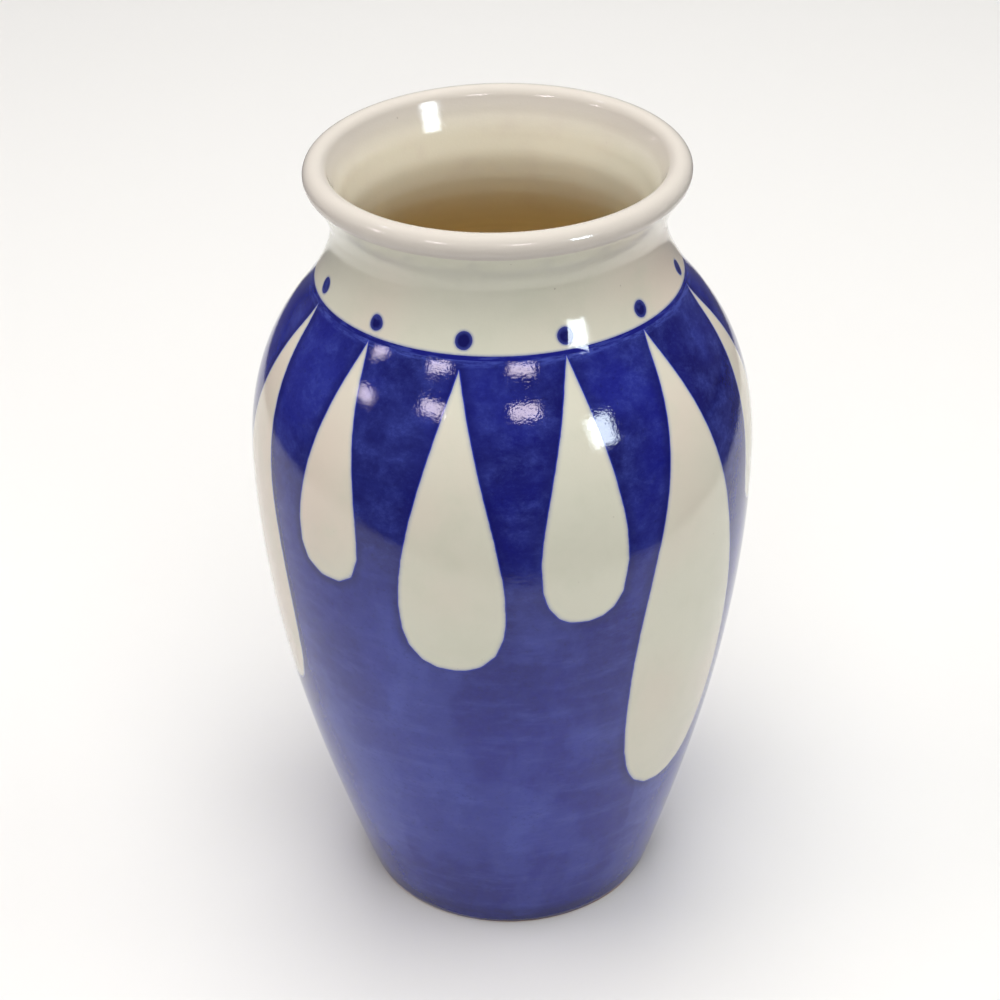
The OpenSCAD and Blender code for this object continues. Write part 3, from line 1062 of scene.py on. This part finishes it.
def ivoryFinish(name, base, warm, cool, bleedAt=None, deep=None):
    # bleedAt is left out away from any blue, and deep is the colour far down inside, a painted warm bounce
    # light
    material, tree, shader = newFinish(name)
    drift = texture(tree, *ivoryCoat["drift"])
    mottle = texture(tree, *ivoryCoat["mottle"])
    body = blended(tree, spread(tree, drift, *ivoryCoat["driftMask"]), glaze[base], glaze[warm])
    body = blended(tree, spread(tree, mottle, *ivoryCoat["mottleMask"]), body, glaze[cool])
    if deep:
        height = heightOf(tree)
        body = blended(tree, spread(tree, height, *ivoryCoat["lipHeights"]), body, glaze["rimIvory"])
        # painted light: lower in the throat the colour turns a warmer yellow, standing in for warm light
        # bouncing inside the pot
        body = blended(tree, spread(tree, height, *ivoryCoat["paintedBounceHeights"]), body, glaze[deep])
    specks = texture(tree, *ivoryCoat["specks"])
    body = blended(tree, spread(tree, specks, *ivoryCoat["speckMask"]), body, glaze["speck"])
    if bleedAt:
        ragged = times(tree, texture(tree, *ivoryCoat["ragged"]), ivoryCoat["raggedShare"])
        gap = plus(tree, edgeGap(tree), ragged)
        softStart, softShare = ivoryCoat["softFrom"]
        body = blended(tree, spread(tree, gap, softStart, bleedAt, softShare, 0.0), body, glaze["bleedSoft"])
        body = blended(tree, spread(tree, gap, *ivoryCoat["bleedMask"]), body, glaze["bleed"])
    glossed(tree, shader, body)
    bump(tree, shader, texture(tree, *ivoryCoat["ripple"]), ivoryCoat["orangePeel"])
    return material


paint = {
    "dotWash": (130.0, 3.0, 0.6, 0.0, 1.6),
    "dotMask": (0.45, 0.72, 0.0, 0.5),
    "dotEdgeMask": (0.0, 1.5, 0.85, 0.0),
    "lineWash": (34.0, 3.0, 0.6, 0.0, 4.0),
    "lineMask": (0.35, 0.6),
    "lineStreaks": (130.0, 3.0, 0.6, 0.0, 8.0),
    "streakMask": (0.46, 0.66, 0.0, 0.45),
}


def dotFinish():
    material, tree, shader = newFinish("dotGlaze")
    wash = texture(tree, *paint["dotWash"])
    body = blended(tree, spread(tree, wash, *paint["dotMask"]), glaze["deepBlue"], glaze["paleBlue"])
    body = blended(tree, spread(tree, edgeGap(tree), *paint["dotEdgeMask"]), body, glaze["dotEdge"])
    glossed(tree, shader, body)
    return material


def lineFinish():
    material, tree, shader = newFinish("lineGlaze")
    wash = texture(tree, *paint["lineWash"])
    streaks = texture(tree, *paint["lineStreaks"])
    body = blended(tree, spread(tree, wash, *paint["lineMask"]), glaze["lineBlue"], glaze["midBlue"])
    body = blended(tree, spread(tree, streaks, *paint["streakMask"]), body, glaze["paleBlue"])
    glossed(tree, shader, body)
    return material


clay = {
    "bare": rgb(205, 176, 146),
    "bareStain": rgb(186, 152, 120),
    "fired": rgb(198, 160, 126),
    "firedStain": rgb(178, 136, 104),
    "gritColour": rgb(96, 70, 52),
    "grit": (900.0, 5.0, 0.7),
    "gritMask": (0.6, 0.8, 0.0, 0.5),
    "stain": (40.0, 4.0, 0.6),
    "stainMask": (0.35, 0.7),
    "rough": 0.85,
    "gritDepth": 0.00012,   # metres
}


def clayFinish(name, base, dark):
    material, tree, shader = newFinish(name)
    grit = texture(tree, *clay["grit"])
    stain = texture(tree, *clay["stain"])
    body = blended(tree, spread(tree, stain, *clay["stainMask"]), clay[base], clay[dark])
    body = blended(tree, spread(tree, grit, *clay["gritMask"]), body, clay["gritColour"])
    tree.links.new(body, shader.inputs["Base Color"])
    shader.inputs["Roughness"].default_value = clay["rough"]
    bump(tree, shader, grit, clay["gritDepth"])
    return material


dropGlaze = ivoryFinish("dropGlaze", "ivory", "ivoryWarm", "ivoryCool", ivoryCoat["dropBleed"])
collarGlaze = ivoryFinish("collarGlaze", "ivory", "ivoryWarm", "ivoryCool", ivoryCoat["collarBleed"])
dotGlaze = dotFinish()
firedClay = clayFinish("firedClay", "fired", "firedStain")
finishes = {
    "blue": blueFinish(),
    "collar": collarGlaze,
    "line": lineFinish(),
    "rim": ivoryFinish("rimGlaze", "rimIvory", "rimIvory", "rimIvory"),
    "lining": ivoryFinish("liningGlaze", "liningIvory", "ivory", "ivoryWarm", deep="paintedDeepBounce"),
    "foot": clayFinish("bareClay", "bare", "bareStain"),
    "floor": firedClay,
}
for name, material in finishes.items():
    pieces[name].data.materials.append(material)
for piece in pieces["drops"]:
    piece.data.materials.append(dropGlaze)
for piece in pieces["dots"]:
    piece.data.materials.append(dotGlaze)
for name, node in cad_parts.items():
    if name.endswith("_wall") or name == "rim_bead":
        node.data.materials.clear()
        node.data.materials.append(firedClay)
print("finishes applied")

studio = {
    "floorSize": 2.6,
    "floorSides": 128,
    "floorColour": rgb(233, 232, 230),
    "floorRough": 0.9,
    # the colour of the painted dark reflection that the glaze shows round the table
    "paintedReflectionColour": rgb(92, 90, 100),
    "flagRough": 1.0,
    "flagR": 0.74,
    "flagNearR": 0.36,
    "flagTurn": 30,   # degrees round from the front where the cloth comes nearest
    "flagWide": 95,
    "flagStep": 3,
    "flagZ": 0.002,
    "room": (0.15, 0.145, 0.16, 1.0),   # what the glaze reflects above the floor
    "backdrop": (0.86, 0.86, 0.87, 1.0),   # what is seen behind the pot
    "aim": (0.0, -0.02, 0.2),
    # angle round from the front, height angle, distance, width, height, strength, colour
    "shines": {
        "windowShine": (48, 21, 2.4, 0.46, 0.62, 21.0, (0.82, 0.93, 1.0)),
        "rightShine": (13, 39.3, 2.4, 0.50, 0.26, 15.0, (1.0, 0.86, 0.92)),
        "leftShine": (-38, 36.5, 2.4, 0.42, 0.24, 15.0, (1.0, 0.86, 0.92)),
        "farLeftShine": (-75, 26.6, 2.4, 0.34, 0.2, 14.0, (1.0, 0.86, 0.92)),
        "violetShine": (-104, 56, 2.4, 0.30, 0.12, 10.0, (0.86, 0.84, 1.0)),
    },
    "fills": {
        "overheadFill": (0, 89, 1.9, 1.3, 1.3, 4.6, (1.0, 1.0, 0.97)),
        "frontFill": (5, 55, 2.2, 1.7, 1.2, 3.6, (1.0, 1.0, 0.97)),
        "rightFill": (95, 38, 2.2, 1.4, 1.0, 2.1, (1.0, 1.0, 0.98)),
        "backFill": (180, 42, 2.2, 1.4, 1.0, 2.6, (1.0, 1.0, 0.97)),
        "leftFill": (-90, 36, 2.2, 1.4, 1.0, 2.5, (1.0, 0.93, 0.91)),
    },
}


def addStagePiece(name, points, faces, finish, colour, rough):
    mesh = bpy.data.meshes.new(name)
    mesh.from_pydata(points, [], faces)
    piece = bpy.data.objects.new(name, mesh)
    scene.collection.objects.link(piece)
    material, _, shader = newFinish(finish)
    shader.inputs["Base Color"].default_value = colour
    shader.inputs["Roughness"].default_value = rough
    mesh.materials.append(material)
    return piece


def addFloor():
    turns = np.linspace(0, 2 * np.pi, studio["floorSides"], endpoint=False)
    radius = studio["floorSize"] / 2
    edge = [(math.cos(turn) * radius, math.sin(turn) * radius, 0.0) for turn in turns]
    addStagePiece("floor", edge, [tuple(range(len(edge)))], "floorPaper",
                  studio["floorColour"], studio["floorRough"])


def addPaintedReflection():
    # a dark cloth round the pale table, which only the glaze sees: it is there only to paint a dark
    # reflection in the glaze, and comes in at the front right
    near, far = [], []
    for turn in np.radians(np.arange(0, 361, studio["flagStep"])):
        away = (np.degrees(turn) - studio["flagTurn"] + 180) % 360 - 180
        beside = np.exp(-(away / studio["flagWide"]) ** 4)
        r = studio["flagR"] + (studio["flagNearR"] - studio["flagR"]) * beside
        for ring, size in ((near, r), (far, studio["floorSize"])):
            ring.append((math.sin(turn) * size, -math.cos(turn) * size, studio["flagZ"]))
    count = len(near)
    faces = [(i, i + 1, count + i + 1, count + i) for i in range(count - 1)]
    flag = addStagePiece("flag", near + far, faces, "paintedReflectionCloth", studio["paintedReflectionColour"], studio["flagRough"])
    flag.visible_camera = False
    flag.visible_diffuse = False
    flag.visible_shadow = False
    flag.visible_transmission = False


def addLamp(name, azimuth, height, distance, wide, tall, radiance, colour, inGlaze):
    # a lamp is seen either as a shine in the glaze or as soft fill on it, not as both
    data = bpy.data.lights.new(name, "AREA")
    data.shape = "RECTANGLE"
    data.size = wide
    data.size_y = tall
    data.energy = radiance * wide * tall * math.pi   # watts that give this radiance
    data.color = colour
    lamp = bpy.data.objects.new(name, data)
    lamp.visible_diffuse = not inGlaze
    lamp.visible_glossy = inGlaze
    around, above = math.radians(azimuth), math.radians(height)
    away = Vector((math.sin(around) * math.cos(above), -math.cos(around) * math.cos(above), math.sin(above)))
    lamp.location = Vector(studio["aim"]) + away * distance
    lamp.rotation_euler = (-away).to_track_quat("-Z", "Y").to_euler()
    scene.collection.objects.link(lamp)


def addWorld():
    # a dim room round the pot, with a pale backdrop where one is looked at
    world = bpy.data.worlds.new("studioAir")
    world.use_nodes = True
    tree = world.node_tree
    path = tree.nodes.new("ShaderNodeLightPath")
    colour = blended(tree, path.outputs["Is Camera Ray"], studio["room"], studio["backdrop"])
    tree.links.new(colour, tree.nodes["Background"].inputs["Color"])
    scene.world = world


addFloor()
addPaintedReflection()
for name, settings in studio["shines"].items():
    addLamp(name, *settings, True)
for name, settings in studio["fills"].items():
    addLamp(name, *settings, False)
addWorld()
print("studio lit")
